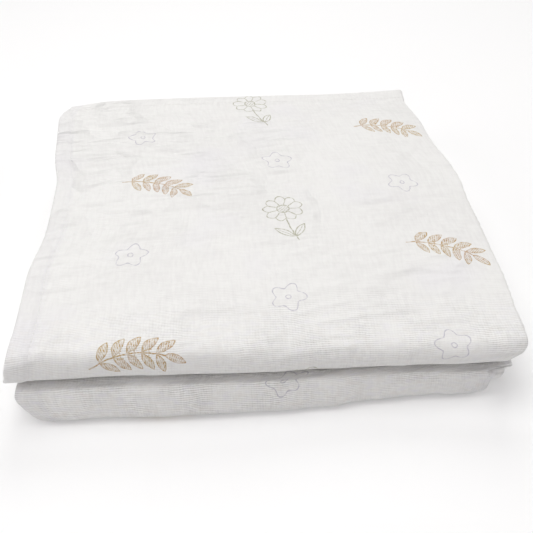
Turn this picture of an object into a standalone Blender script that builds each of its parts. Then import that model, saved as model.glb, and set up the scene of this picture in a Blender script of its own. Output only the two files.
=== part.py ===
"""A square muslin swaddle blanket, folded in four across its width and then in four along its length.

The blanket is one piece of hemmed cloth. It starts as a flat slab with a cut line wherever it bends, and
each of its points is then carried to its folded place. All sizes are in metres and +Z is up. The rounded
folds of the stack face -Y, its hemmed long edges face -X, and the origin is under its middle.
"""

import math

import bmesh
import bpy
from mathutils import Vector

# Driving sizes.
FOLDED_WIDTH = 0.300  # left to right, a quarter of the blanket
FOLDED_DEPTH = 0.300  # front to back, a quarter of the blanket
CLOTH = 0.0026  # one layer of puffed double muslin
LAYER_GAP = 0.0009  # air between the layers of one strip
PANEL_GAP = 0.0012  # air between one strip and the next
LAYERS = 4  # layers that the width is folded into
PANELS = 4  # lengths that the strip of layers is folded into

# Worked out from the driving sizes.
LAYER_PITCH = CLOTH + LAYER_GAP
STRIP = LAYERS * CLOTH + (LAYERS - 1) * LAYER_GAP
PANEL_PITCH = STRIP + PANEL_GAP
HEIGHT = PANELS * STRIP + (PANELS - 1) * PANEL_GAP
HALF_WIDTH = FOLDED_WIDTH / 2
HALF_DEPTH = FOLDED_DEPTH / 2

# How many flat pieces a layer, a side fold, a panel and an end fold are cut into.
LAYER_CUTS, SIDE_FOLD_CUTS = 10, 4
PANEL_CUTS, END_FOLD_CUTS = 6, 6

# The outline of a fold: a squareness of 2 is a circle, and pressed cloth is squarer.
SIDE_SQUARENESS = 2.3
SIDE_NOSE, END_NOSE = 0.9, 0.88  # how far a fold reaches out, as a share of its half height

# Edges and folds along the strip, in the order of the cloth. Inset is from the side of the stack, and tuck
# is how much further in it lies at the lower front fold.
SIDE_LINES = (
    # side, inset, tuck
    (-1, 0.0010, 0.007),  # hem on top
    (+1, 0.0005, 0.022),
    (-1, 0.0025, 0.009),
    (+1, 0.0030, 0.006),
    (-1, 0.0020, 0.006),  # hem underneath
)
TUCK_AT, TUCK_REACH = 3.0, 0.30  # in panels along the strip

# Ends and folds across the strip, in the order of the cloth.
END_LINES = (
    # side, inset, squareness
    (+1, 0.0020, None),  # hem on top
    (-1, 0.0000, 2.5),
    (+1, 0.0010, 2.3),
    (-1, -0.0050, 3.4),
    (+1, 0.0030, None),  # hem underneath
)

# The front edge isn't straight: it swings out, or in where the sign is minus, around these places.
FRONT_WAVES = (
    # x, half width, out at the top, out at the floor
    (-0.150, 0.030, 0.0038, -0.0018),
    (-0.120, 0.030, 0.0021, 0.0017),
    (-0.090, 0.030, 0.0007, 0.0024),
    (-0.060, 0.030, 0.0018, 0.0026),
    (-0.030, 0.030, 0.0022, 0.0024),
    (+0.000, 0.030, 0.0018, 0.0014),
    (+0.030, 0.030, -0.0007, -0.0005),
    (+0.060, 0.030, -0.0007, -0.0038),
    (+0.090, 0.030, 0.0003, -0.0052),
    (+0.120, 0.030, 0.0035, -0.0052),
    (+0.150, 0.030, 0.0058, -0.0078),
)

# The crease under the upper bundle: how high it is, how far it reaches up and down, and how deep it is. It
# grows shallow towards the right end.
CREASE_HEIGHT, CREASE_UP, CREASE_DOWN, CREASE_DEPTH = 0.025, 0.0165, 0.019, 0.0065
CREASE_FADE_FROM, CREASE_FADE = 0.060, 0.75  # x where that starts, and the share of the depth lost at the end

# The sides bend in around these places, or out where the sign is minus.
SIDE_WAVES = (
    # x side, y, half width, in
    (-1, -0.130, 0.050, -0.0045),
    (-1, -0.080, 0.050, -0.0058),
    (-1, -0.030, 0.050, -0.0001),
    (-1, +0.020, 0.050, -0.0002),
    (-1, +0.070, 0.050, -0.0083),
    (-1, +0.120, 0.050, -0.0051),
    (-1, +0.170, 0.050, 0.0048),
    (+1, -0.130, 0.050, -0.0001),
    (+1, -0.080, 0.050, -0.0009),
    (+1, -0.030, 0.050, 0.0008),
    (+1, +0.020, 0.050, 0.0002),
    (+1, +0.070, 0.050, 0.0078),
    (+1, +0.120, 0.050, 0.0044),
    (+1, +0.170, 0.050, 0.0006),
)
BACK_SKEW, BACK_SKEW_FROM = -0.015, 0.060  # the back of the stack slides to the left from this depth on

# The corners are drawn in, or pushed out where the pull is below 0.
CORNERS = (
    # x side, y side, pull along X, pull along Y, height where it is strongest, reach in height
    (-1, +1, 0.0113, 0.0083, 0.050, 0.200),
    (+1, +1, 0.0004, -0.0083, 0.050, 0.200),
    (-1, -1, -0.0067, 0.0000, 0.041, 0.030),
    (+1, -1, 0.0084, 0.0010, 0.036, 0.020),
)
CORNER_POWER, CORNER_LIMIT = 4, 1.5  # how local the pull is, and its largest share

EDGE_DROP, EDGE_POWER, EDGE_LIMIT = 0.03, 4, 2.0  # share of the height lost towards the edges

# Soft swells and hollows of the top.
SWELLS = (
    # x, y, half width, height
    (-0.060, -0.020, 0.110, 0.0020),
    (+0.070, +0.050, 0.100, 0.0016),
    (-0.105, -0.105, 0.060, -0.0022),
    (+0.110, -0.090, 0.070, 0.0005),
    (+0.020, -0.165, 0.085, -0.0045),
    (+0.085, -0.165, 0.100, -0.0075),
)


def smooth(share):
    """0 to 1 with a level start and end."""
    share = min(1.0, max(0.0, share))
    return share * share * (3 - 2 * share)


def bump(distance, reach):
    """1 at no distance, falling smoothly to 0 at reach."""
    return smooth(1 - abs(distance) / reach)


def rounded(angle, squareness):
    """Across and along parts of a fold's outline, from (0, 1) through (1, 0) to (0, -1)."""
    across, along = math.sin(angle), math.cos(angle)
    power = 2 / squareness
    return abs(across) ** power, math.copysign(abs(along) ** power, along)


class Zigzag:
    """Cloth that goes back and forth: flat runs of one length, joined by folds of another."""

    def __init__(self, runs, run, fold, run_cuts, fold_cuts):
        self.runs, self.run, self.fold = runs, run, fold
        self.run_cuts, self.fold_cuts = run_cuts, fold_cuts
        self.length = runs * run + (runs - 1) * fold

    def cut_lines(self):
        """Where the flat cloth gets a line, without its two edges."""
        lines = []
        for index in range(self.runs):
            start = index * (self.run + self.fold)
            lines += [start + self.run * i / self.run_cuts for i in range(self.run_cuts + 1)]
            lines += [start + self.run + self.fold * i / self.fold_cuts for i in range(1, self.fold_cuts)]
        return [line for line in lines if 0 < line < self.length * 0.9999]

    def locate(self, along):
        """(number of the run, share of the run or None, angle in the fold after it or None)."""
        along = min(max(along, 0.0), self.length)
        index = min(self.runs - 1, int((along + 1e-7) / (self.run + self.fold)))
        rest = along - index * (self.run + self.fold)
        if rest <= self.run + 1e-7:
            return index, min(1.0, rest / self.run), None
        return index, None, math.pi * (rest - self.run) / self.fold


WIDTHWISE = Zigzag(LAYERS, FOLDED_WIDTH - LAYER_PITCH, math.pi / 2 * LAYER_PITCH, LAYER_CUTS, SIDE_FOLD_CUTS)
LENGTHWISE = Zigzag(PANELS, FOLDED_DEPTH - PANEL_PITCH, math.pi / 2 * PANEL_PITCH, PANEL_CUTS, END_FOLD_CUTS)


def side_line(number, strip_place):
    """x of an edge or of the start of a side fold."""
    side, inset, tuck = SIDE_LINES[number]
    nose = 0 if number in (0, LAYERS) else SIDE_NOSE * (LAYER_PITCH + CLOTH) / 2
    tucked = tuck * bump(strip_place - TUCK_AT, TUCK_REACH)
    return side * (HALF_WIDTH - inset - nose - tucked)


def end_line(number):
    """y of an end or of the start of an end fold."""
    side, inset, _ = END_LINES[number]
    nose = 0 if number in (0, PANELS) else END_NOSE * (PANEL_PITCH + STRIP) / 2
    return side * (HALF_DEPTH - inset - nose)


def across_strip(u, w, strip_place):
    """x, and the height in the strip, of a point of the cloth."""
    layer, share, angle = WIDTHWISE.locate(u)
    middle = ((LAYERS - 1) / 2 - layer) * LAYER_PITCH
    facing = 1 if layer % 2 == 0 else -1
    if angle is None:
        start, end = side_line(layer, strip_place), side_line(layer + 1, strip_place)
        return start + (end - start) * share, middle + facing * w
    radius = LAYER_PITCH / 2 + facing * w
    out, up = rounded(angle, SIDE_SQUARENESS)
    x = side_line(layer + 1, strip_place) + facing * SIDE_NOSE * radius * out
    return x, middle - LAYER_PITCH / 2 + radius * up


def along_strip(v, lift):
    """y and z of a point at this height in the strip."""
    panel, share, angle = LENGTHWISE.locate(v)
    middle = STRIP / 2 + (PANELS - 1 - panel) * PANEL_PITCH
    facing = 1 if panel % 2 == 0 else -1
    if angle is None:
        start, end = end_line(panel), end_line(panel + 1)
        return start + (end - start) * share, middle + facing * lift
    radius = PANEL_PITCH / 2 + facing * lift
    out, up = rounded(angle, END_LINES[panel + 1][2])
    y = end_line(panel + 1) - facing * END_NOSE * radius * out
    return y, middle - PANEL_PITCH / 2 + radius * up


def settled(x, y, z):
    """The point after the neat stack has slumped and slid into its uneven shape."""
    across, along = abs(x / HALF_WIDTH), abs(y / HALF_DEPTH)
    nearest = next(row for row in CORNERS if row[0] * x >= 0 and row[1] * y >= 0)
    right, back, pull_x, pull_y, height, reach = nearest
    corner = min(CORNER_LIMIT, (across * along) ** CORNER_POWER) * bump(z - height, reach)
    new_x = x - right * pull_x * corner
    new_y = y - back * pull_y * corner
    for side, place, reach, inwards in SIDE_WAVES:
        new_x -= side * inwards * bump(y - place, reach) * smooth(0.5 + side * x / FOLDED_WIDTH)
    new_x += BACK_SKEW * smooth((y - BACK_SKEW_FROM) / (HALF_DEPTH - BACK_SKEW_FROM))
    for place, reach, top, floor in FRONT_WAVES:
        out = floor + (top - floor) * smooth(z / HEIGHT)
        new_y -= out * bump(x - place, reach) * smooth(0.5 - y / FOLDED_DEPTH)
    crease_reach = CREASE_UP if z > CREASE_HEIGHT else CREASE_DOWN
    crease = CREASE_DEPTH * (1 - CREASE_FADE * smooth((x - CREASE_FADE_FROM) / (HALF_WIDTH - CREASE_FADE_FROM)))
    new_y += crease * bump(z - CREASE_HEIGHT, crease_reach) * smooth(0.5 - y / FOLDED_DEPTH)
    edge = min(EDGE_LIMIT, across ** EDGE_POWER + along ** EDGE_POWER)
    swell = sum(rise * bump(math.hypot(x - a, y - b), reach) for a, b, reach, rise in SWELLS)
    return Vector((new_x, new_y, z * (1 - EDGE_DROP * edge + swell / HEIGHT)))


def folded(u, v, w):
    """Where a point of the flat cloth lies in the stack; w is above or below the middle of the cloth."""
    panel, share, _ = LENGTHWISE.locate(v)
    strip_place = panel + (1 if share is None else share)
    x, lift = across_strip(u, w, strip_place)
    y, z = along_strip(v, lift)
    return settled(x, y, z)


def flat_cloth():
    """The cut cloth as a slab with a corner at the origin, with a line wherever it will bend."""
    bm = bmesh.new()
    bmesh.ops.create_cube(bm, size=1.0)
    bmesh.ops.translate(bm, vec=(0.5, 0.5, 0), verts=bm.verts)
    bmesh.ops.scale(bm, vec=(WIDTHWISE.length, LENGTHWISE.length, CLOTH), verts=bm.verts)
    for axis, zigzag in ((Vector((1, 0, 0)), WIDTHWISE), (Vector((0, 1, 0)), LENGTHWISE)):
        for line in zigzag.cut_lines():
            everything = bm.verts[:] + bm.edges[:] + bm.faces[:]
            bmesh.ops.bisect_plane(bm, geom=everything, dist=1e-7, plane_co=axis * line, plane_no=axis)
    return bm


def cotton():
    material = bpy.data.materials.new("white_muslin")
    material.use_nodes = True
    shader = material.node_tree.nodes["Principled BSDF"]
    shader.inputs["Base Color"].default_value = (0.86, 0.85, 0.84, 1)
    shader.inputs["Roughness"].default_value = 0.92
    shader.inputs["Metallic"].default_value = 0.0
    return material


def centre_on_floor(bm):
    """Puts the origin under the middle of the stack."""
    places = [vert.co for vert in bm.verts]
    low = Vector(min(place[axis] for place in places) for axis in range(3))
    high = Vector(max(place[axis] for place in places) for axis in range(3))
    middle = (low + high) / 2
    bmesh.ops.translate(bm, vec=(-middle.x, -middle.y, -low.z), verts=bm.verts)


def make_blanket():
    bm = flat_cloth()
    for vert in bm.verts:
        vert.co = folded(*vert.co)
    centre_on_floor(bm)
    bmesh.ops.reverse_faces(bm, faces=bm.faces[:])  # the cloth runs towards -Y, so folding mirrors it
    bmesh.ops.triangulate(bm, faces=bm.faces[:])
    mesh = bpy.data.meshes.new("blanket")
    bm.to_mesh(mesh)
    bm.free()
    mesh.materials.append(cotton())
    mesh.shade_smooth()
    mesh.set_sharp_from_angle(angle=math.radians(50))
    blanket = bpy.data.objects.new("blanket", mesh)
    bpy.context.scene.collection.objects.link(blanket)
    return blanket


for old in list(bpy.data.objects):
    bpy.data.objects.remove(old)
make_blanket()
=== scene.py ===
import math

import bmesh
import bpy
from mathutils import Matrix, Vector, noise


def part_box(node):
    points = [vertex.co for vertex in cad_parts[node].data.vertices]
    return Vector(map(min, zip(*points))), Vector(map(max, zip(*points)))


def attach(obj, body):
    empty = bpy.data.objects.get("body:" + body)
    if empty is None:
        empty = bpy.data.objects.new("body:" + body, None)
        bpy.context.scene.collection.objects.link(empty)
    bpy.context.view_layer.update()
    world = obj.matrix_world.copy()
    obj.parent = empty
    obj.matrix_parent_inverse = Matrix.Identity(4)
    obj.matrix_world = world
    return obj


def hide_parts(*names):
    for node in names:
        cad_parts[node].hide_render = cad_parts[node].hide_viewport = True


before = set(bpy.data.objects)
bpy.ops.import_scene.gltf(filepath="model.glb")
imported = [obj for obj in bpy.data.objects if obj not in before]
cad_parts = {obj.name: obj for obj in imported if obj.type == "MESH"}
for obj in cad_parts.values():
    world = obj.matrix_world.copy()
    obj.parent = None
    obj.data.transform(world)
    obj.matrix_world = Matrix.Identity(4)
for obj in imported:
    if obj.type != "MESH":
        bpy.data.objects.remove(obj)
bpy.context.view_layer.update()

print("stage 1: frame loaded")

# The folded cloth. The order of its folds, its layers and gaps are those of the frame's own solid,
# and its outline is trimmed to lie a little closer to the real one.
blanket = {
    "width": 0.300,
    "depth": 0.300,
    "cloth": 0.0026,
    "layerGap": 0.0009,
    "panelGap": 0.0012,
    "layers": 4,
    "panels": 4,
    "sideSquareness": 2.3,
    "sideNose": 0.9,
    "endNose": 0.88,
    # side, inset, tuck at the lower front fold, its reach in the strip above and below it, wander of the edge
    "sideLines": (
        (-1, 0.0010, 0.007, 0.30, 0.30, 0.0009),
        (+1, 0.0005, 0.016, 0.03, 0.30, 0.0008),
        (-1, 0.0025, 0.009, 0.30, 0.30, 0.0016),
        (+1, 0.0000, 0.0055, 0.03, 0.30, 0.0014),
        (-1, 0.0020, 0.006, 0.30, 0.30, 0.0016),
    ),
    "tuckAt": 3.0,
    "tuckLead": 0.03,  # share of a panel that the start of a fold counts for
    "tuckAngle": 40,
    "wanderPace": 5.0,
    "wanderSeeds": (7.3, 0.4),
    # side, inset, squareness of the fold
    "endLines": (
        (+1, 0.0020, None),
        (-1, 0.0000, 2.6),
        (+1, 0.0010, 2.3),
        (-1, -0.0050, 3.8),
        (+1, 0.0030, None),
    ),
    # x, half width, out at the top, out at the floor
    "frontWaves": (
        (-0.150, 0.030, 0.0038, -0.0018),
        (-0.120, 0.030, 0.0021, 0.0017),
        (-0.090, 0.030, 0.0007, 0.0024),
        (-0.060, 0.030, 0.0018, 0.0026),
        (-0.030, 0.030, 0.0022, 0.0024),
        (+0.000, 0.030, 0.0018, 0.0014),
        (+0.030, 0.030, -0.0007, -0.0005),
        (+0.060, 0.030, -0.0007, -0.0038),
        (+0.090, 0.030, 0.0003, -0.0052),
        (+0.120, 0.030, 0.0035, -0.0052),
        (+0.150, 0.030, 0.0058, -0.0078),
    ),
    # the crease under the upper bundle: height, reach up, reach down, depth
    "crease": (0.0250, 0.0165, 0.0190, 0.0034),
    "creaseFade": (0.060, 0.75),  # from this x on it grows shallow, and in the end it has lost this share
    # x side, y, half width, in
    "sideWaves": (
        (-1, -0.130, 0.050, -0.0045),
        (-1, -0.080, 0.050, -0.0058),
        (-1, -0.030, 0.050, -0.0001),
        (-1, +0.020, 0.050, -0.0002),
        (-1, +0.070, 0.050, -0.0083),
        (-1, +0.120, 0.050, -0.0051),
        (-1, +0.170, 0.050, 0.0048),
        (+1, -0.130, 0.050, -0.0001),
        (+1, -0.080, 0.050, -0.0009),
        (+1, -0.030, 0.050, 0.0008),
        (+1, +0.020, 0.050, 0.0002),
        (+1, +0.070, 0.050, 0.0078),
        (+1, +0.120, 0.050, 0.0044),
        (+1, +0.170, 0.050, 0.0006),
    ),
    "backSkew": -0.015,
    "backSkewFrom": 0.060,
    # x side, y side, pull along x, pull along y, height, reach in height
    "corners": (
        (-1, +1, 0.0113, 0.0083, 0.050, 0.200),
        (+1, +1, 0.0004, -0.0083, 0.050, 0.200),
        (-1, -1, -0.0067, 0.0000, 0.041, 0.030),
        (-1, -1, -0.0110, 0.0000, 0.021, 0.022),
        (+1, -1, 0.0084, 0.0010, 0.036, 0.020),
    ),
    "cornerPower": 4,
    "cornerLimit": 1.5,
    "edgeDrop": 0.03,
    "edgePower": 4,
    "edgeLimit": 2.0,
    # x, y, half width, height
    "swells": (
        (-0.060, -0.020, 0.110, 0.0020),
        (+0.070, +0.050, 0.100, 0.0016),
        (-0.105, -0.105, 0.060, -0.0022),
        (+0.110, -0.090, 0.070, 0.0005),
        (+0.020, -0.165, 0.085, -0.0045),
        (+0.085, -0.165, 0.100, -0.0075),
    ),
}
layerPitch = blanket["cloth"] + blanket["layerGap"]
strip = blanket["layers"] * blanket["cloth"] + (blanket["layers"] - 1) * blanket["layerGap"]
panelPitch = strip + blanket["panelGap"]
stackHeight = blanket["panels"] * strip + (blanket["panels"] - 1) * blanket["panelGap"]
halfWidth = blanket["width"] / 2
halfDepth = blanket["depth"] / 2


def smooth(share):
    share = min(1.0, max(0.0, share))
    return share * share * (3 - 2 * share)


def bump(distance, reach):
    return smooth(1 - abs(distance) / reach)


def mix(low, high, share):
    return low + (high - low) * share


# Cloth that goes back and forth: flat runs of one length, joined by folds of another.
class Zigzag:
    def __init__(self, runs, run, fold):
        self.runs, self.run, self.fold = runs, run, fold
        self.length = runs * run + (runs - 1) * fold

    def lines(self, runCuts, foldCuts):
        # where the flat cloth is cut, with its two edges
        found = []
        for index in range(self.runs):
            start = index * (self.run + self.fold)
            found += [start + self.run * i / runCuts[index] for i in range(runCuts[index] + 1)]
            if index < self.runs - 1:
                cuts = foldCuts[index]
                found += [start + self.run + self.fold * i / cuts for i in range(1, cuts)]
        return found

    def locate(self, along):
        # number of the run, share of the run or None, angle in the fold after it or None
        along = min(max(along, 0.0), self.length)
        index = min(self.runs - 1, int((along + 1e-7) / (self.run + self.fold)))
        rest = along - index * (self.run + self.fold)
        if rest <= self.run + 1e-7:
            return index, min(1.0, rest / self.run), None
        return index, None, math.pi * (rest - self.run) / self.fold


widthwise = Zigzag(blanket["layers"], blanket["width"] - layerPitch, math.pi / 2 * layerPitch)
lengthwise = Zigzag(blanket["panels"], blanket["depth"] - panelPitch, math.pi / 2 * panelPitch)


def rounded(angle, squareness):
    across, along = math.sin(angle), math.cos(angle)
    power = 2 / squareness
    return abs(across) ** power, math.copysign(abs(along) ** power, along)


def sideLine(number, stripPlace):
    side, inset, tuck, above, below, wander = blanket["sideLines"][number]
    hemmed = number in (0, blanket["layers"])
    nose = 0 if hemmed else blanket["sideNose"] * (layerPitch + blanket["cloth"]) / 2
    past = stripPlace - blanket["tuckAt"]
    tucked = tuck * bump(past, above if past < 0 else below)
    lineSeed, seed = blanket["wanderSeeds"]
    sway = wander * noise.noise(Vector((stripPlace * blanket["wanderPace"], number * lineSeed, seed)))
    return side * (halfWidth - inset - nose - tucked + sway)


def endLine(number):
    side, inset, _ = blanket["endLines"][number]
    hemmed = number in (0, blanket["panels"])
    nose = 0 if hemmed else blanket["endNose"] * (panelPitch + strip) / 2
    return side * (halfDepth - inset - nose)


def acrossStrip(u, w, stripPlace):
    layer, share, angle = widthwise.locate(u)
    middle = ((blanket["layers"] - 1) / 2 - layer) * layerPitch
    facing = 1 if layer % 2 == 0 else -1
    if angle is None:
        start, end = sideLine(layer, stripPlace), sideLine(layer + 1, stripPlace)
        return mix(start, end, share), middle + facing * w
    radius = layerPitch / 2 + facing * w
    out, up = rounded(angle, blanket["sideSquareness"])
    x = sideLine(layer + 1, stripPlace) + facing * blanket["sideNose"] * radius * out
    return x, middle - layerPitch / 2 + radius * up


def alongStrip(v, lift):
    panel, share, angle = lengthwise.locate(v)
    middle = strip / 2 + (blanket["panels"] - 1 - panel) * panelPitch
    facing = 1 if panel % 2 == 0 else -1
    if angle is None:
        return mix(endLine(panel), endLine(panel + 1), share), middle + facing * lift
    radius = panelPitch / 2 + facing * lift
    out, up = rounded(angle, blanket["endLines"][panel + 1][2])
    y = endLine(panel + 1) - facing * blanket["endNose"] * radius * out
    return y, middle - panelPitch / 2 + radius * up


# The neat stack slumps and slides into its uneven shape.
def settled(x, y, z):
    across, along = abs(x / halfWidth), abs(y / halfDepth)
    atCorner = min(blanket["cornerLimit"], (across * along) ** blanket["cornerPower"])
    newX, newY = x, y
    for right, back, pullX, pullY, height, reach in blanket["corners"]:
        if right * x >= 0 and back * y >= 0:
            corner = atCorner * bump(z - height, reach)
            newX -= right * pullX * corner
            newY -= back * pullY * corner
    for side, place, reach, inwards in blanket["sideWaves"]:
        newX -= side * inwards * bump(y - place, reach) * smooth(0.5 + side * x / blanket["width"])
    skewFrom = blanket["backSkewFrom"]
    newX += blanket["backSkew"] * smooth((y - skewFrom) / (halfDepth - skewFrom))
    for place, reach, top, floor in blanket["frontWaves"]:
        out = mix(floor, top, smooth(z / stackHeight))
        newY -= out * bump(x - place, reach) * smooth(0.5 - y / blanket["depth"])
    place, up, down, deep = blanket["crease"]
    fadeFrom, faded = blanket["creaseFade"]
    deep *= 1 - faded * smooth((x - fadeFrom) / (halfWidth - fadeFrom))
    newY += deep * bump(z - place, up if z > place else down) * smooth(0.5 - y / blanket["depth"])
    edge = min(blanket["edgeLimit"], across ** blanket["edgePower"] + along ** blanket["edgePower"])
    swell = sum(rise * bump(math.hypot(x - a, y - b), reach) for a, b, reach, rise in blanket["swells"])
    return Vector((newX, newY, z * (1 - blanket["edgeDrop"] * edge + swell / stackHeight)))


def folded(u, v, w):
    panel, share, angle = lengthwise.locate(v)
    lead = blanket["tuckLead"]
    if angle is None:
        stripPlace = panel + share * (1 - lead)
    else:
        stripPlace = panel + 1 - lead * (1 - smooth(math.degrees(angle) / blanket["tuckAngle"]))
    x, lift = acrossStrip(u, w, stripPlace)
    y, z = alongStrip(v, lift)
    return settled(x, y, z)


# What shows close up: the hems, the puckers and the crinkle of the muslin
surface = {
    "hem": 0.0140,
    "hemRise": 0.00085,
    "hemStep": 0.0012,
    "hemCrinkle": 0.4,  # share of the crinkle that is left along the hem
    "stitchLine": 0.0122,
    "stitchDip": 0.0009,
    "endDip": 0.0002,  # the same at the two short ends
    "stitchReach": 0.0030,
    "seamShadeMargin": 0.5,  # share of the seam's painted shade, a darker lavender tint, carried from the stitches out to the edge
    "edgeRound": 0.0016,
    "edgeLeast": 0.12,  # share of the thickness at the very edge
    "crinkleAlong": 0.040,  # length of a wrinkle across the width
    "crinkleAcross": 0.0085,  # distance from one wrinkle to the next
    "crinkle": 0.0012,
    "crinkleSlant": 0.14,
    "patchPace": 13,  # patches of weaker and stronger crinkle in a metre
    "patchLeast": 0.5,
    "patchContrast": 1.1,
    "furrow": 0.00038,  # height of the even wrinkles under the chance ones
    "furrowSway": 2.2,
    "swayAlong": 0.045,
    "swayAcross": 0.030,
    "dentAlong": 0.060,
    "dentAcross": 0.027,
    "dentSlant": 0.16,
    "dent": 0.0010,
    "slack": 0.0003,  # how far the crinkled cloth lies below the smooth one
    "deepest": 0.0016,
    "ruffled": (0.030, 0.070, 0.210),  # where the top is crinkled most: u, v, reach
    "calm": 0.40,  # share of the crinkle elsewhere
    "pucker": 0.0054,
    "puckerSquash": 1.25,
    "puckerHeight": 0.00030,
    "tautReach": 0.040,
    "pulls": (0.65, 0.65, 1.0),  # how hard each fold across the strip pulls the cloth
    "inside": 0.25,  # share of the crinkle that is left between the layers
}
# Creases laid on the printed side, in flat cloth metres: u, v, half length, half width, turn, height
creases = (
    (0.075, 0.100, 0.060, 0.009, -4, 0.0009),
    (0.150, 0.112, 0.070, 0.010, 5, -0.0008),
    (0.205, 0.098, 0.050, 0.009, 9, 0.0007),
    (0.040, 0.135, 0.045, 0.009, -8, -0.0006),
    (0.110, 0.152, 0.075, 0.009, 7, 0.0007),
    (0.235, 0.165, 0.060, 0.011, 12, -0.0009),
    (0.255, 0.200, 0.055, 0.010, 8, 0.0008),
    (0.060, 0.205, 0.070, 0.011, 6, -0.0010),
    (0.030, 0.060, 0.040, 0.010, 62, -0.0004),
    (0.062, 0.045, 0.035, 0.009, 74, 0.0005),
    (0.275, 0.110, 0.050, 0.009, -58, -0.0008),
    (0.180, 0.205, 0.060, 0.009, -3, 0.0006),
    (0.120, 0.262, 0.090, 0.005, 1, 0.0007),
    (0.225, 0.258, 0.070, 0.005, -2, -0.0006),
)


def creaseHeight(u, v):
    total = 0.0
    for a, b, halfLength, halfBreadth, turn, height in creases:
        du, dv = u - a, v - b
        if abs(du) > halfLength + halfBreadth and abs(dv) > halfLength + halfBreadth:
            continue
        c, s = math.cos(math.radians(turn)), math.sin(math.radians(turn))
        along, across = du * c - dv * s, du * s + dv * c
        total += height * bump(along, halfLength) * bump(across, halfBreadth)
    return total


def ruffle(u, v):
    a, b, reach = surface["ruffled"]
    return mix(surface["calm"], 1, bump(math.hypot(u - a, v - b), reach))


def edgeDistance(u, v):
    return max(0.0, min(u, widthwise.length - u, v, lengthwise.length - v))


def crinkleHeight(u, v):
    slant = v + surface["crinkleSlant"] * u
    wide = Vector((u / surface["crinkleAlong"], slant / surface["crinkleAcross"], 1.7))
    fine = Vector((u / surface["pucker"], v / surface["pucker"] * surface["puckerSquash"], 9.1))
    soft = Vector((u / surface["dentAlong"], (v - surface["dentSlant"] * u) / surface["dentAcross"], 6.4))
    patch = noise.noise(Vector((u * surface["patchPace"], v * surface["patchPace"], 3.3)))
    strength = surface["patchLeast"] + smooth(0.5 + surface["patchContrast"] * patch)
    strength *= ruffle(u, v)
    pastHem = (edgeDistance(u, v) - surface["hem"]) / surface["hem"]
    strength *= mix(surface["hemCrinkle"], 1, smooth(pastHem))
    sway = noise.noise(Vector((u / surface["swayAlong"], v / surface["swayAcross"], 2.6)))
    furrow = math.sin(2 * math.pi * (slant / surface["crinkleAcross"] + surface["furrowSway"] * sway))
    close = surface["crinkle"] * noise.noise(wide) + surface["puckerHeight"] * noise.noise(fine)
    close += surface["furrow"] * furrow
    return strength * close + surface["dent"] * noise.noise(soft) - surface["slack"]


def clothOffset(u, v, side):
    # height of the cloth's surface over its middle, on its printed side (+1) or its plain side (-1)
    distance = edgeDistance(u, v)
    half = blanket["cloth"] / 2
    half += surface["hemRise"] * smooth((surface["hem"] - distance) / surface["hemStep"] + 0.5)
    dip = surface["stitchDip"] if min(u, widthwise.length - u) <= distance else surface["endDip"]
    half -= dip * bump(distance - surface["stitchLine"], surface["stitchReach"])
    panel, share, _ = lengthwise.locate(v)
    layer = widthwise.locate(u)[0]
    rests = panel == blanket["panels"] - 1 and share is not None
    outside = side > 0 and layer == 0 and panel in (0, 2) and not (panel == 2 and share is not None)
    if not rests:
        uneven = crinkleHeight(u, v) * (1 if outside else surface["inside"])
        uneven += creaseHeight(u, v) if outside else 0
        half += max(-surface["deepest"], uneven)
    near = min(1.0, distance / surface["edgeRound"])
    return side * half * max(surface["edgeLeast"], math.sqrt(1 - (1 - near) ** 2))


def tautness(v):
    # how far the cloth is pulled over the folds across the strip, falling off along the panels
    pitch = lengthwise.run + lengthwise.fold
    pulls = []
    for index, pull in enumerate(surface["pulls"]):
        apart = abs(v - (index + 1) * pitch + lengthwise.fold / 2) - lengthwise.fold / 2
        pulls.append(pull * bump(max(0.0, apart), surface["tautReach"]))
    return max(pulls)


# Cells of the cloth's mesh: fine on the top layer and the front folds, wide where the cloth is hidden
cells = {
    "widthRuns": (100, 14, 14, 14),
    "widthFolds": (10, 6, 6),
    "lengthRuns": (150, 14, 14, 14),
    "lengthFolds": (24, 10, 24),
    "edge": (0.12, 0.4, 1.0),
    "hem": (-1.0, -0.5, 0.0, 0.5, 1.0),
    "tuck": (0.89, 0.91, 0.95, 0.97),
    "closest": 1e-4,
}


def spread(lines):
    lines.sort()
    return [line for i, line in enumerate(lines) if i == 0 or line - lines[i - 1] > cells["closest"]]


def flatSlab():
    edge = [surface["edgeRound"] * share for share in cells["edge"]]
    hem = [surface["stitchLine"] + surface["stitchReach"] * share for share in cells["hem"]]
    thirdPanel = 2 * (lengthwise.run + lengthwise.fold)
    tuck = [thirdPanel + lengthwise.run * share for share in cells["tuck"]]
    uLines = widthwise.lines(cells["widthRuns"], cells["widthFolds"])
    vLines = lengthwise.lines(cells["lengthRuns"], cells["lengthFolds"]) + tuck
    for zigzagLines, length in ((uLines, widthwise.length), (vLines, lengthwise.length)):
        zigzagLines.extend(edge + hem + [length - line for line in edge + hem])
    uLines, vLines = spread(uLines), spread(vLines)
    bm = bmesh.new()
    across, along = len(uLines) - 1, len(vLines) - 1
    bmesh.ops.create_grid(bm, x_segments=across, y_segments=along, size=0.5)
    for vert in bm.verts:
        column, row = round((vert.co.x + 0.5) * across), round((vert.co.y + 0.5) * along)
        vert.co = (uLines[column], vLines[row], 0)
    bmesh.ops.solidify(bm, geom=bm.faces[:], thickness=blanket["cloth"])
    middle = sum(vert.co.z for vert in bm.verts) / len(bm.verts)
    for vert in bm.verts:
        vert.co.z -= middle
    # solidify leaves the faces of the rim in a chance order, so all are put in one that doesn't change
    bm.verts.index_update()
    count = len(bm.verts)
    bm.faces.sort(key=lambda face: face.verts[0].index * count + face.verts[1].index)
    return bm


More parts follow.
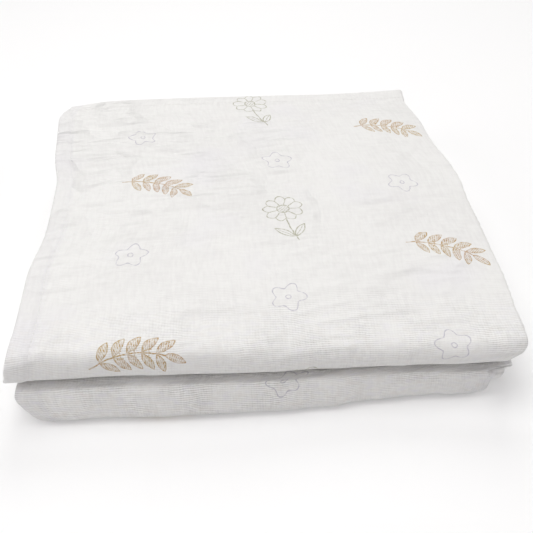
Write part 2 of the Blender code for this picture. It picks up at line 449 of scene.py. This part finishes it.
def paced(lines, placeAt):
    # length of the cloth's outside, measured along these lines
    total, last, found = 0.0, placeAt(lines[0]), []
    for line in lines:
        here = placeAt(line)
        total += (here - last).length
        last = here
        found.append((line, total))
    return dict(found)


def clothMapper(bm):
    # flat place of each point, as long as the cloth really is on the outside of its folds
    half = blanket["cloth"] / 2
    layerRun = widthwise.run + widthwise.fold
    uLines = sorted({vert.co.x for vert in bm.verts})
    vLines = sorted({vert.co.y for vert in bm.verts})
    across = paced(uLines, lambda u: folded(u, lengthwise.run / 2, half))
    first = paced(vLines, lambda v: folded(widthwise.run / 2, v, half))
    last = paced(vLines, lambda v: folded(3 * layerRun + widthwise.run / 2, v, half))

    def mapped(u, v):
        share = min(1.0, max(0.0, (u - layerRun) / (2 * layerRun)))
        return across[u], mix(first[v], last[v], share)

    return mapped


def makeMuslin(material):
    bm = flatSlab()
    clothMap = bm.loops.layers.uv.new("cloth")
    printed = bm.verts.layers.float.new("printed")
    taut = bm.verts.layers.float.new("taut")
    seamShade = bm.verts.layers.float.new("seamShade")
    ruffled = bm.verts.layers.float.new("ruffled")
    mapped = clothMapper(bm)
    for face in bm.faces:
        for loop in face.loops:
            loop[clothMap].uv = mapped(*loop.vert.co.xy)
    for vert in bm.verts:
        u, v, w = vert.co
        side = 1 if w > 0 else -1
        vert[printed] = max(side, 0)
        vert[taut] = tautness(v)
        vert[ruffled] = ruffle(u, v)
        # painted shade in the groove along the stitch line, with a fainter share of it out over the hem
        fromSide = min(u, widthwise.length - u)
        vert[seamShade] = bump(fromSide - surface["stitchLine"], surface["stitchReach"])
        margin = smooth((surface["stitchLine"] - fromSide) / surface["stitchReach"])
        vert[seamShade] += surface["seamShadeMargin"] * margin
        vert.co = folded(u, v, clothOffset(u, v, side))
    low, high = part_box("blanket")
    lowest, highest = (
        Vector(end(vert.co[axis] for vert in bm.verts) for axis in range(3)) for end in (min, max)
    )
    shift = (low + high) / 2 - (lowest + highest) / 2
    shift.z = low.z - lowest.z
    bmesh.ops.translate(bm, verts=bm.verts, vec=shift)
    bmesh.ops.recalc_face_normals(bm, faces=bm.faces)
    mesh = bpy.data.meshes.new("foldedMuslin")
    bm.to_mesh(mesh)
    bm.free()
    mesh.materials.append(material)
    mesh.shade_smooth()
    piece = bpy.data.objects.new("foldedMuslin", mesh)
    bpy.context.scene.collection.objects.link(piece)
    return piece, shift


# One number that varies over the cloth, worked out by Math nodes.
class Field:
    def __init__(self, tree, socket):
        self.tree, self.socket = tree, socket

    def op(self, operation, *others):
        node = self.tree.nodes.new("ShaderNodeMath")
        node.operation = operation
        for slot, value in enumerate((self,) + others):
            if isinstance(value, Field):
                self.tree.links.new(value.socket, node.inputs[slot])
            else:
                node.inputs[slot].default_value = value
        return Field(self.tree, node.outputs[0])

    def __add__(self, other):
        return self.op("ADD", other)

    def __sub__(self, other):
        return self.op("SUBTRACT", other)

    def __mul__(self, other):
        return self.op("MULTIPLY", other)

    def __truediv__(self, other):
        return self.op("DIVIDE", other)

    def __abs__(self):
        return self.op("ABSOLUTE")

    def __neg__(self):
        return self.op("MULTIPLY", -1.0)

    def least(self, other):
        return self.op("MINIMUM", other)

    def most(self, other):
        return self.op("MAXIMUM", other)

    def cos(self):
        return self.op("COSINE")

    def sin(self):
        return self.op("SINE")

    def within(self, low, high):
        return self.most(low).least(high)

    def length(self, other):
        return (self * self + other * other).op("SQRT")

    def under(self, limit, soft=0.00035):
        # 1 where the field lies under the limit, with a soft edge
        return ((-self + limit) / soft + 0.5).within(0.0, 1.0)


def turned(x, y, angle):
    c, s = math.cos(angle), math.sin(angle)
    return x * c + y * s, y * c - x * s


def leafShape(along, across, halfLength, halfBreadth):
    # distance to the outline of a pointed leaf
    radius = (halfLength ** 2 + halfBreadth ** 2) / (2 * halfBreadth)
    return along.length(abs(across) + (radius - halfBreadth)) - radius


def repeated(u, v, columnPitch, rowPitch, startU, startV, jitter, turn, seed):
    # one motif in each cell of a half-drop repeat, a little shifted and turned by chance
    tree = u.tree
    across = (u - startU) / columnPitch
    column = (across + 0.5).op("FLOOR")
    down = (v - startV) / rowPitch + column * 0.5
    row = (down + 0.5).op("FLOOR")
    chance = tree.nodes.new("ShaderNodeTexWhiteNoise")
    chance.noise_dimensions = "3D"
    place = tree.nodes.new("ShaderNodeCombineXYZ")
    tree.links.new(column.socket, place.inputs[0])
    tree.links.new(row.socket, place.inputs[1])
    place.inputs[2].default_value = seed
    tree.links.new(place.outputs[0], chance.inputs["Vector"])
    split = tree.nodes.new("ShaderNodeSeparateColor")
    tree.links.new(chance.outputs["Color"], split.inputs[0])
    first, second, third = (Field(tree, socket) for socket in split.outputs)
    x = (across - column) * columnPitch + (first - 0.5) * jitter
    y = -((down - row) * rowPitch) + (second - 0.5) * jitter
    angle = (third - 0.5) * turn
    c, s = angle.cos(), angle.sin()
    return x * c + y * s, y * c - x * s


ink = {
    "line": 0.00044,
    "fine": 0.0003,
    "tan": (0.43, 0.285, 0.090),
    "clay": (0.45, 0.280, 0.160),
    "sage": (0.40, 0.395, 0.300),
    "mist": (0.52, 0.500, 0.555),
}
# an arched branch with filled leaves on both sides, 58 mm long
branchDrawing = {
    "arch": 0.050,
    "archRise": 0.004,
    "halfSpan": 0.0225,
    "leafStep": 0.0082,
    "leafLean": 52,
    "leafOut": 0.0072,
    "tipOut": 0.0055,
    "leaf": (0.0062, 0.0024),
    "veinFrom": 0.0025,
    "strokePitch": 0.0015,
    "berryOut": 0.0045,
    "berryRadius": 0.0009,
}
# a line-drawn flower on a bent stem with two leaves, 50 mm tall
flowerDrawing = {
    "headRise": 0.011,
    "petals": 9,
    "innerRim": 0.0112,
    "petalRise": 0.0030,
    "heartRadius": 0.0042,
    "seedPace": 2600,
    "stemBend": 5.0,
    "stemEnd": 0.0265,
    "leafDrop": 0.0215,
    "leafTurn": 48,
    "leafOut": 0.0078,
    "leaf": (0.0076, 0.0024),
    "halfVein": 0.0065,
}
# a soft five-lobed outline, 24 mm across
starDrawing = {"lobes": 5.0, "lobeRise": 0.0019, "radius": 0.0094, "dot": 0.0016}


def leafyBranch(x, y):
    line, fine, radius = ink["line"], ink["fine"], branchDrawing["arch"]
    halfSpan, step = branchDrawing["halfSpan"], branchDrawing["leafStep"]
    lean = math.radians(branchDrawing["leafLean"])
    lowered = y + (radius - branchDrawing["archRise"])
    r = x.length(lowered)
    along = x.op("ARCTAN2", lowered) * radius
    across = r - radius
    stem = abs(across).most(abs(along) - halfSpan).under(line)
    side = abs(across)
    slanted = along - side * (math.cos(lean) / math.sin(lean))
    number = (slanted / step + 0.5).op("FLOOR").within(-2.0, 2.0)
    leafAcross = (slanted - number * step) * math.sin(lean)
    leafAlong = (along - number * step) * math.cos(lean) + side * math.sin(lean)
    leaf = leafShape(leafAlong - branchDrawing["leafOut"], leafAcross, *branchDrawing["leaf"])
    tip = leafShape(along - (halfSpan + branchDrawing["tipOut"]), across, *branchDrawing["leaf"])
    offStem = side.op("GREATER_THAN", branchDrawing["veinFrom"])
    vein = abs(leafAcross).least(side + offStem).under(fine)
    both = leaf.least(tip)
    hatching = (leafAlong * 0.8 + leafAcross) * (math.pi / branchDrawing["strokePitch"])
    strokes = abs(hatching.sin()).under(0.62, 0.5)
    fill = both.under(-fine) * (strokes * 0.65 + 0.3)
    edge = abs(both).under(fine)
    berryAcross = leafAcross - step * math.sin(lean) * 0.5
    fromBerry = (leafAlong - branchDrawing["berryOut"]).length(berryAcross)
    berry = abs(fromBerry - branchDrawing["berryRadius"]).under(fine)
    berry = berry * abs(number).under(1.5, 0.1)
    return (fill * 0.95 - fill * vein * 0.5).most(edge).most(stem).most(berry)


def meadowFlower(x, y):
    line, petals, innerRim = ink["line"], flowerDrawing["petals"], flowerDrawing["innerRim"]
    heartRadius = flowerDrawing["heartRadius"]
    up = y - flowerDrawing["headRise"]
    r = x.length(up)
    wave = abs((x.op("ARCTAN2", up) * (petals / 2)).cos())
    outline = abs(r - wave * flowerDrawing["petalRise"] - innerRim).under(line)
    spoke = (wave * r * (2 / petals)).under(line * 0.8)
    spoke = spoke * r.under(innerRim) * (-r).under(-heartRadius - 0.0008)
    heart = abs(r - heartRadius).under(line)
    dots = (x * flowerDrawing["seedPace"]).sin() * (up * flowerDrawing["seedPace"]).sin()
    seeds = dots.op("GREATER_THAN", 0.25) * r.under(heartRadius - 0.0006)
    stemX = x - y * y * flowerDrawing["stemBend"] + 0.0005
    stem = abs(stemX).under(line) * y.under(flowerDrawing["headRise"] - innerRim)
    stem = stem * (-y).under(flowerDrawing["stemEnd"])
    leafTurn = math.radians(flowerDrawing["leafTurn"])
    leafX, leafY = turned(abs(stemX), y + flowerDrawing["leafDrop"], leafTurn)
    leaf = abs(leafShape(leafX - flowerDrawing["leafOut"], leafY, *flowerDrawing["leaf"])).under(line * 0.9)
    halfVein = flowerDrawing["halfVein"]
    vein = abs(leafY).most(abs(leafX - halfVein) - halfVein).under(line * 0.6)
    return outline.most(spoke).most(heart).most(seeds * 0.8).most(stem).most(leaf).most(vein * 0.8)


def puffyStar(x, y):
    r = x.length(y)
    lobes = (x.op("ARCTAN2", y) * starDrawing["lobes"]).cos() * starDrawing["lobeRise"]
    lobes = lobes + starDrawing["radius"]
    outline = abs(r - lobes).under(ink["line"] * 0.9)
    dot = abs(r - starDrawing["dot"]).under(ink["line"] * 0.8)
    return outline.most(dot)


def muslinMaterial():
    cloth = {
        "white": (0.927, 0.930, 0.914),
        "shade": (0.864, 0.862, 0.851),
        "cool": (0.745, 0.730, 0.765),
        "warm": (0.755, 0.728, 0.706),
        # colour of the painted shade in the groove along the stitches
        "seamShade": (0.690, 0.678, 0.718),
        # colour painted into the gaps between the threads: partly the open weave, partly painted shade in the
        # holes
        "shadeInGaps": (0.56, 0.545, 0.53),
        "shadeInGapsShare": 0.36,
        "roughness": 0.9,
        "specular": 0.1,
        "sheen": 0.05,
        "sheenRoughness": 0.6,
        "warpPitch": 0.0017,
        "weftPitch": 0.00130,
        "weaveDepth": 0.00030,
        "slubDepth": 0.00022,
        "fuzzDepth": 0.00006,
        "rippleDepth": 0.0074,
        "threadDepth": 0.0005,
        "drift": 0.005,  # how far the threads wander off their lines
        "wobble": 0.0016,  # the same for the printed lines
        "columnPitch": 0.190,
        "rowPitch": 0.160,
        "columnStart": 0.070,
        "rowStart": -0.0185,
    }
    material = bpy.data.materials.new("printedMuslin")
    material.use_nodes = True
    tree = material.node_tree
    nodes, links = tree.nodes, tree.links
    shader = nodes["Principled BSDF"]
    shader.inputs["Roughness"].default_value = cloth["roughness"]
    shader.inputs["Specular IOR Level"].default_value = cloth["specular"]
    shader.inputs["Sheen Weight"].default_value = cloth["sheen"]
    shader.inputs["Sheen Roughness"].default_value = cloth["sheenRoughness"]
    clothMap = nodes.new("ShaderNodeUVMap")
    clothMap.uv_map = "cloth"
    split = nodes.new("ShaderNodeSeparateXYZ")
    links.new(clothMap.outputs[0], split.inputs[0])
    u, v = Field(tree, split.outputs[0]), Field(tree, split.outputs[1])

    def noiseAt(place, scale, detail):
        texture = nodes.new("ShaderNodeTexNoise")
        texture.noise_dimensions = "3D"
        texture.inputs["Scale"].default_value = scale
        texture.inputs["Detail"].default_value = detail
        links.new(place.outputs[0], texture.inputs["Vector"])
        return Field(tree, texture.outputs["Fac"])

    def cloudy(scale, detail, seed):
        place = nodes.new("ShaderNodeVectorMath")
        place.operation = "ADD"
        links.new(clothMap.outputs[0], place.inputs[0])
        place.inputs[1].default_value = (0, 0, seed)
        return noiseAt(place, scale, detail)

    def stretched(scaleU, scaleV, seed, slant=0.0):
        # noise drawn out into threads
        place = nodes.new("ShaderNodeCombineXYZ")
        links.new((u * scaleU).socket, place.inputs[0])
        links.new(((v + u * slant) * scaleV).socket, place.inputs[1])
        place.inputs[2].default_value = seed
        return noiseAt(place, 1.0, 1)

    def attribute(name):
        node = nodes.new("ShaderNodeAttribute")
        node.attribute_name = name
        return Field(tree, node.outputs["Fac"])

    def blended(share, below, above):
        node = nodes.new("ShaderNodeMix")
        node.data_type = "RGBA"
        links.new(share.socket, node.inputs[0])
        for slot, value in ((6, below), (7, above)):
            if isinstance(value, bpy.types.NodeSocket):
                links.new(value, node.inputs[slot])
            else:
                node.inputs[slot].default_value = (*value, 1)
        return node.outputs[2]

    # hand-drawn wobble of the printed lines
    wobbleU = u + (cloudy(160, 2, 3.1) - 0.5) * cloth["wobble"]
    wobbleV = v + (cloudy(160, 2, 8.4) - 0.5) * cloth["wobble"]
    columns, rows = cloth["columnPitch"], cloth["rowPitch"]
    warmInk = blended((cloudy(55, 1, 7.7) * 2.6 - 1.0).most(0.0), ink["tan"], ink["clay"])
    # motif, its ink, columns to the right, rows down, jitter, turn, seed
    motifs = (
        (leafyBranch, warmInk, 0, 0, 0.012, 0.7, 1.5),
        (meadowFlower, ink["sage"], 0.5, 0.25, 0.010, 0.4, 2.5),
        (puffyStar, ink["mist"], 0, 0.5, 0.014, 1.5, 3.5),
        (puffyStar, ink["mist"], 0.5, 0.75, 0.014, 1.5, 4.5),
    )
    prints = []
    for drawing, tint, right, down, jitter, turn, seed in motifs:
        startU, startV = cloth["columnStart"] + right * columns, cloth["rowStart"] + down * rows
        x, y = repeated(wobbleU, wobbleV, columns, rows, startU, startV, jitter, turn, seed)
        prints.append((drawing(x, y), tint))

    # a plain weave, each thread over one and under one; the two layers of gauze drift in and out of step,
    # so the grid comes and goes, and it shows most where the cloth is pulled over a fold
    warpPlace = (u + (cloudy(35, 2, 1.3) - 0.5) * cloth["drift"]) / cloth["warpPitch"]
    weftPlace = (v + (cloudy(35, 2, 5.9) - 0.5) * cloth["drift"]) / cloth["weftPitch"]
    warp = abs((warpPlace * math.pi).sin())
    weft = abs((weftPlace * math.pi).sin())
    over = ((warpPlace + weftPlace.op("FLOOR")) * math.pi).cos() * 0.5 + 0.5
    inStep = ((cloudy(45, 2, 2.7) - 0.5) * 3.0 + 0.70).within(0.25, 1.1)
    taut = attribute("taut")
    inStep = inStep * (taut * 0.85 + 0.15)
    warpSlub = stretched(110, 700, 3.9)
    weftSlub = stretched(700, 130, 7.2)
    fuzz = cloudy(1300, 2, 6.6)
    grid = weft * (over * 0.40 + 0.60) + warp * (over * -0.25 + 0.40)
    slubs = (warpSlub + weftSlub) * (taut * 0.6 + 0.4)
    height = grid * inStep * cloth["weaveDepth"] + slubs * cloth["slubDepth"] + fuzz * cloth["fuzzDepth"]
    ripple = stretched(30, 100, 8.1, 0.16) * cloth["rippleDepth"]
    ripple = ripple + stretched(75, 260, 4.2, 0.02) * cloth["threadDepth"]
    patches = ((cloudy(24, 1, 3.6) - 0.5) * 5.0 + 0.65).within(0.3, 1.0)
    pucker = ripple * patches * attribute("ruffled")
    relief = nodes.new("ShaderNodeBump")
    relief.inputs["Strength"].default_value = 1.0
    relief.inputs["Distance"].default_value = 1.0
    links.new((height + pucker).socket, relief.inputs["Height"])
    links.new(relief.outputs[0], shader.inputs["Normal"])

    thread = (stretched(450, 90, 2.9) - 0.5) * 2.2 + (stretched(90, 450, 5.3) - 0.5) * 1.2
    tone = slubs * 0.6 + thread + (cloudy(18, 2, 1.1) - 0.5) * 1.6 + fuzz * 0.2 + 0.25
    colour = blended(tone, cloth["shade"], cloth["white"])
    # the gaps between the threads are painted darker: partly the weave's own open pattern, partly painted
    # shade seen through the holes; the contrast is strongest where the cloth is pulled over a fold
    between = (weft * -0.86 + warp * -0.14 + 1.0) * (stretched(420, 260, 1.8) * 1.6 + 0.2)
    colour = blended((between - cloth["shadeInGapsShare"]) * inStep + cloth["shadeInGapsShare"], colour, cloth["shadeInGaps"])
    cool = ((cloudy(16, 2, 9.9) - 0.55) * 6.0).within(0.0, 1.0)
    colour = blended(cool * 0.4, colour, cloth["cool"])
    tinged = (stretched(150, 260, 6.1) - 0.5) * 2.4 * taut
    colour = blended(tinged.most(0.0), colour, cloth["warm"])
    colour = blended((-tinged).most(0.0), colour, cloth["cool"])
    # painted shade: a darker lavender band in the groove along the stitches, fainter out over the hem, broken
    # up by noise
    colour = blended(attribute("seamShade") * cloudy(40, 1, 5.5) * 0.5, colour, cloth["seamShade"])
    showing = attribute("printed") * 0.85 + 0.15
    blots = ((cloudy(420, 2, 2.2) - 0.5) * 2.2 + 0.70).within(0.2, 1.0)
    worn = ((warp + weft) * 0.3 + 0.75) * blots * showing
    for motif, tint in prints:
        colour = blended(motif * worn, colour, tint)
    links.new(colour, shader.inputs["Base Color"])
    return material


stitches = {
    "pitch": 0.0032,
    "length": 0.0021,
    "radius": 0.00023,
    "lift": 0.00008,
    # along the stitch, how far down, thickness
    "bead": ((-1, -1, 0.35), (-0.6, 0, 1), (0.6, 0, 1), (1, -1, 0.35)),
    "dark": (0.72, 0.71, 0.69),
    "light": (0.86, 0.85, 0.83),
    "roughness": 0.7,
    "twistScale": 2500,
    "twistDepth": 0.0001,
    "twistStrength": 0.3,
}


def makeStitches(material, shift):
    # a row of small stitches along each hem, on the printed side, each a short bead of thread
    line, half = surface["stitchLine"], stitches["length"] / 2
    places = []
    for fixed in (line, widthwise.length - line):
        count = int((lengthwise.length - 2 * line) / stitches["pitch"])
        places += [(fixed, line + i * stitches["pitch"], 0, 1) for i in range(count)]
    for fixed in (line, lengthwise.length - line):
        count = int((widthwise.length - 2 * line) / stitches["pitch"])
        places += [(line + i * stitches["pitch"], fixed, 1, 0) for i in range(count)]
    thread = bpy.data.curves.new("hemStitches", "CURVE")
    thread.dimensions = "3D"
    thread.bevel_depth = stitches["radius"]
    thread.bevel_resolution = 0
    thread.use_fill_caps = True
    for u, v, alongU, alongV in places:
        spline = thread.splines.new("POLY")
        spline.points.add(len(stitches["bead"]) - 1)
        for point, (step, sink, thickness) in zip(spline.points, stitches["bead"]):
            rise = clothOffset(u, v, 1) + stitches["lift"] + sink * stitches["radius"]
            place = folded(u + alongU * step * half, v + alongV * step * half, rise) + shift
            point.co = (*place, 1)
            point.radius = thickness
    drawn = bpy.data.objects.new("stitchCurves", thread)
    bpy.context.scene.collection.objects.link(drawn)
    mesh = bpy.data.meshes.new_from_object(drawn.evaluated_get(bpy.context.evaluated_depsgraph_get()))
    bpy.data.objects.remove(drawn)
    mesh.name = "hemStitches"
    mesh.materials.clear()
    mesh.materials.append(material)
    mesh.shade_smooth()
    piece = bpy.data.objects.new("hemStitches", mesh)
    bpy.context.scene.collection.objects.link(piece)
    return piece


def threadMaterial():
    material = bpy.data.materials.new("sewingThread")
    material.use_nodes = True
    tree = material.node_tree
    shader = tree.nodes["Principled BSDF"]
    shader.inputs["Roughness"].default_value = stitches["roughness"]
    place = tree.nodes.new("ShaderNodeTexCoord")
    twist = tree.nodes.new("ShaderNodeTexNoise")
    twist.inputs["Scale"].default_value = stitches["twistScale"]
    tree.links.new(place.outputs["Object"], twist.inputs["Vector"])
    shade = tree.nodes.new("ShaderNodeValToRGB")
    for element, tint in zip(shade.color_ramp.elements, (stitches["dark"], stitches["light"])):
        element.color = (*tint, 1)
    tree.links.new(twist.outputs["Fac"], shade.inputs["Fac"])
    tree.links.new(shade.outputs["Color"], shader.inputs["Base Color"])
    relief = tree.nodes.new("ShaderNodeBump")
    relief.inputs["Strength"].default_value = stitches["twistStrength"]
    relief.inputs["Distance"].default_value = stitches["twistDepth"]
    tree.links.new(twist.outputs["Fac"], relief.inputs["Height"])
    tree.links.new(relief.outputs[0], shader.inputs["Normal"])
    return material


muslin, shift = makeMuslin(muslinMaterial())
print("stage 2: muslin folded,", len(muslin.data.polygons), "faces")
stitching = makeStitches(threadMaterial(), shift)
print("stage 3: hems stitched,", len(stitching.data.polygons), "faces")

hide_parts("blanket")
for piece in (muslin, stitching):
    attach(piece, "root")

studio = {
    "floor": (0.80, 0.80, 0.80),
    "floorGlow": 0.15,
    "floorSize": 6.0,
    "floorSink": 0.0004,
    "floorRoughness": 0.95,
    "sky": (0.180, 0.176, 0.178),
    # place, width, power, colour
    "lamps": (
        ((-0.35, -0.12, 1.40), 0.9, 9.0, (1, 0.998, 0.99)),
        ((0.10, 0.95, 1.10), 0.8, 6.9, (1, 0.995, 0.985)),
        ((-0.10, -0.95, 1.20), 0.9, 5.2, (1, 0.97, 0.98)),
        ((-1.25, -0.20, 0.80), 0.8, 3.3, (1, 0.99, 0.985)),
        ((1.25, 0.05, 0.80), 0.8, 3.6, (1, 0.995, 0.99)),
    ),
    "aim": (0, 0, 0),
}


def makeStudio():
    bm = bmesh.new()
    bmesh.ops.create_grid(bm, x_segments=1, y_segments=1, size=studio["floorSize"] / 2)
    mesh = bpy.data.meshes.new("floor")
    bm.to_mesh(mesh)
    bm.free()
    paper = bpy.data.materials.new("palePaper")
    paper.use_nodes = True
    shader = paper.node_tree.nodes["Principled BSDF"]
    shader.inputs["Base Color"].default_value = (*studio["floor"], 1)
    shader.inputs["Emission Color"].default_value = (1, 1, 1, 1)
    shader.inputs["Emission Strength"].default_value = studio["floorGlow"]
    shader.inputs["Roughness"].default_value = studio["floorRoughness"]
    shader.inputs["Specular IOR Level"].default_value = 0.0
    mesh.materials.append(paper)
    floor = bpy.data.objects.new("floor", mesh)
    floor.location.z = -studio["floorSink"]
    bpy.context.scene.collection.objects.link(floor)
    for number, (place, width, power, colour) in enumerate(studio["lamps"]):
        data = bpy.data.lights.new(f"softbox{number}", "AREA")
        data.size = width
        data.energy = power
        data.color = colour
        lamp = bpy.data.objects.new(f"softbox{number}", data)
        lamp.location = place
        towards = Vector(studio["aim"]) - Vector(place)
        lamp.rotation_euler = towards.to_track_quat("-Z", "Y").to_euler()
        bpy.context.scene.collection.objects.link(lamp)
    world = bpy.data.worlds.new("studio")
    world.use_nodes = True
    world.node_tree.nodes["Background"].inputs["Color"].default_value = (*studio["sky"], 1)
    bpy.context.scene.world = world
    bpy.context.scene.view_settings.view_transform = "Standard"


view = {
    "place": (-0.0236, -0.4654, 0.3865),
    "yaw": 4.00,
    "down": 40.48,
    "roll": 0.45,
    "focalPixels": 789.9,
    "framePixels": 533,
    "sensor": 36,
    "clipStart": 0.01,
}


def makeCamera():
    yaw, down, roll = (math.radians(view[name]) for name in ("yaw", "down", "roll"))
    ahead = Vector((math.sin(yaw) * math.cos(down), math.cos(yaw) * math.cos(down), -math.sin(down)))
    right = Vector((math.cos(yaw), -math.sin(yaw), 0))
    up = right.cross(ahead)
    tiltedRight = right * math.cos(roll) + up * math.sin(roll)
    tiltedUp = up * math.cos(roll) - right * math.sin(roll)
    data = bpy.data.cameras.new("camera")
    data.sensor_width = view["sensor"]
    data.lens = view["sensor"] * view["focalPixels"] / view["framePixels"]
    data.clip_start = view["clipStart"]
    camera = bpy.data.objects.new("camera", data)
    placed = Matrix((tiltedRight, tiltedUp, -ahead)).transposed().to_4x4()
    placed.translation = view["place"]
    camera.matrix_world = placed
    bpy.context.scene.collection.objects.link(camera)
    bpy.context.scene.camera = camera


makeStudio()
makeCamera()
print("stage 4: studio and camera set")
